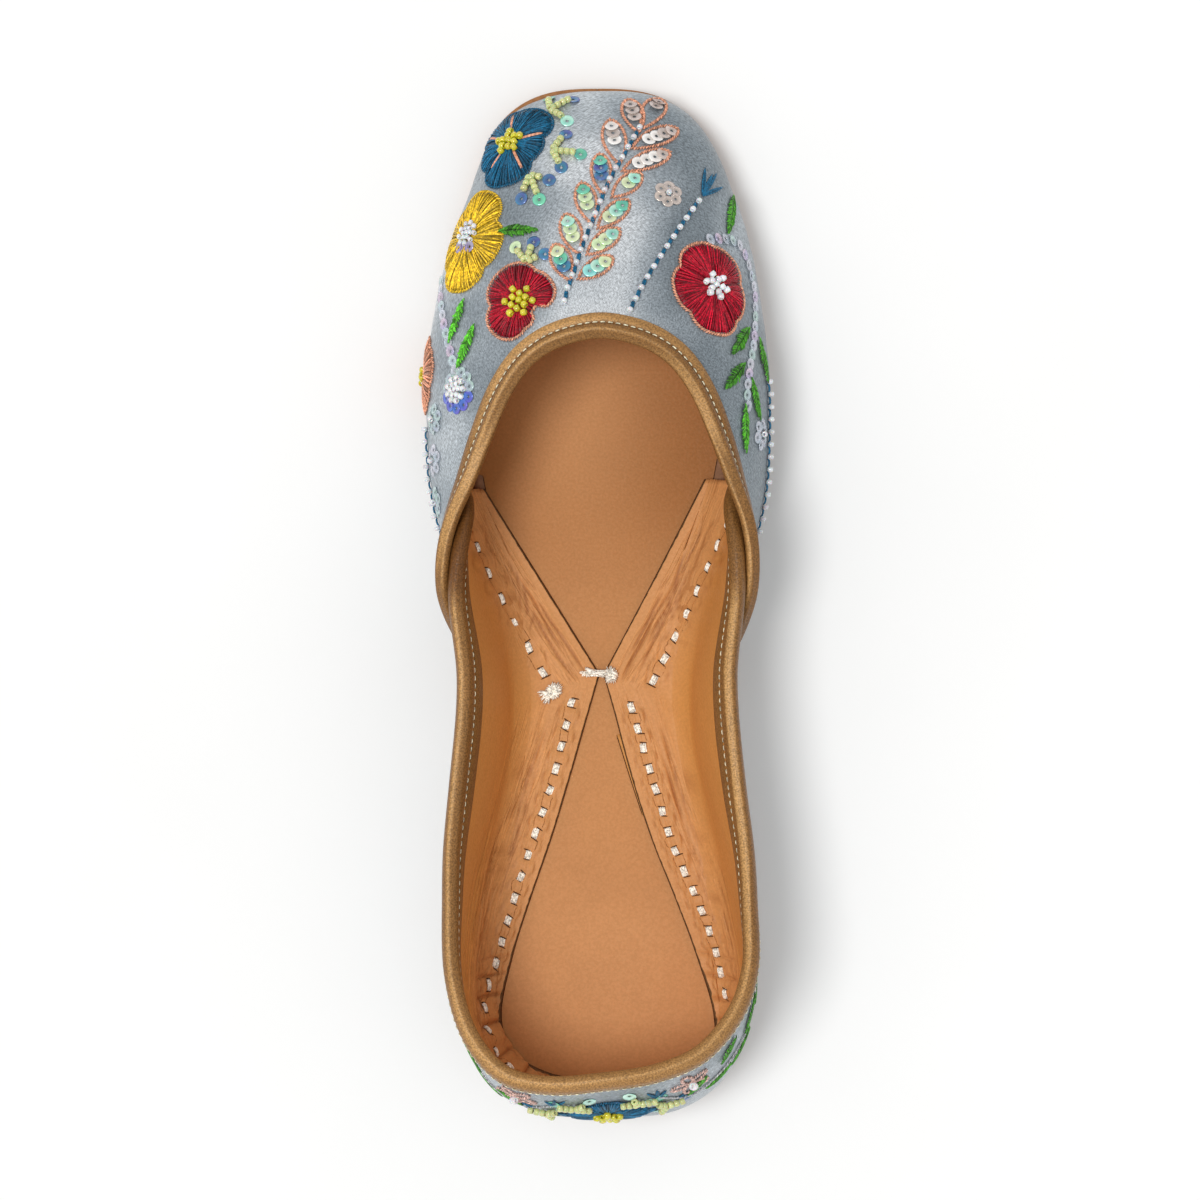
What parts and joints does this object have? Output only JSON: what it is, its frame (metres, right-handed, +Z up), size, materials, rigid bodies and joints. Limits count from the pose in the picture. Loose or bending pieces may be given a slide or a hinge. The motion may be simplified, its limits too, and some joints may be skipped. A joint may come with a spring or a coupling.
{
  "type": "embroidered jutti ballet flat, left shoe",
  "caption": "Flat slip-on left shoe: satin vamp over an inner quarter, bound throat and top line, leather insole with crossed turned-in straps, thin leather sole on a low heel lift.",
  "frame": {"origin": "on the ground under the middle of the shoe's box", "axes": "+Z up, +Y from heel to toe, +X to the wearer's inner side of this left shoe"},
  "size_m": [0.0846, 0.2522, 0.056],
  "materials": {
    "sole_leather": "plain veg-tanned sole leather",
    "lift_leather": "stacked dark lift",
    "insole_leather": "smooth cognac leather",
    "satin": "silver blue satin, embroidered",
    "quarter_satin": "silver blue satin, leather lined",
    "binding_leather": "folded and stitched strip",
    "rim_leather": "folded and stitched strip",
    "lining_leather": "soft turned-in leather"
  },
  "bodies": {
    "root": {"outsole": "sole_leather", "heel_lift": "lift_leather", "insole": "insole_leather", "vamp": "satin", "quarter": "quarter_satin", "vamp_binding": "binding_leather", "quarter_binding": "rim_leather", "quarter_flange": "lining_leather"}
  },
  "joints": []
}
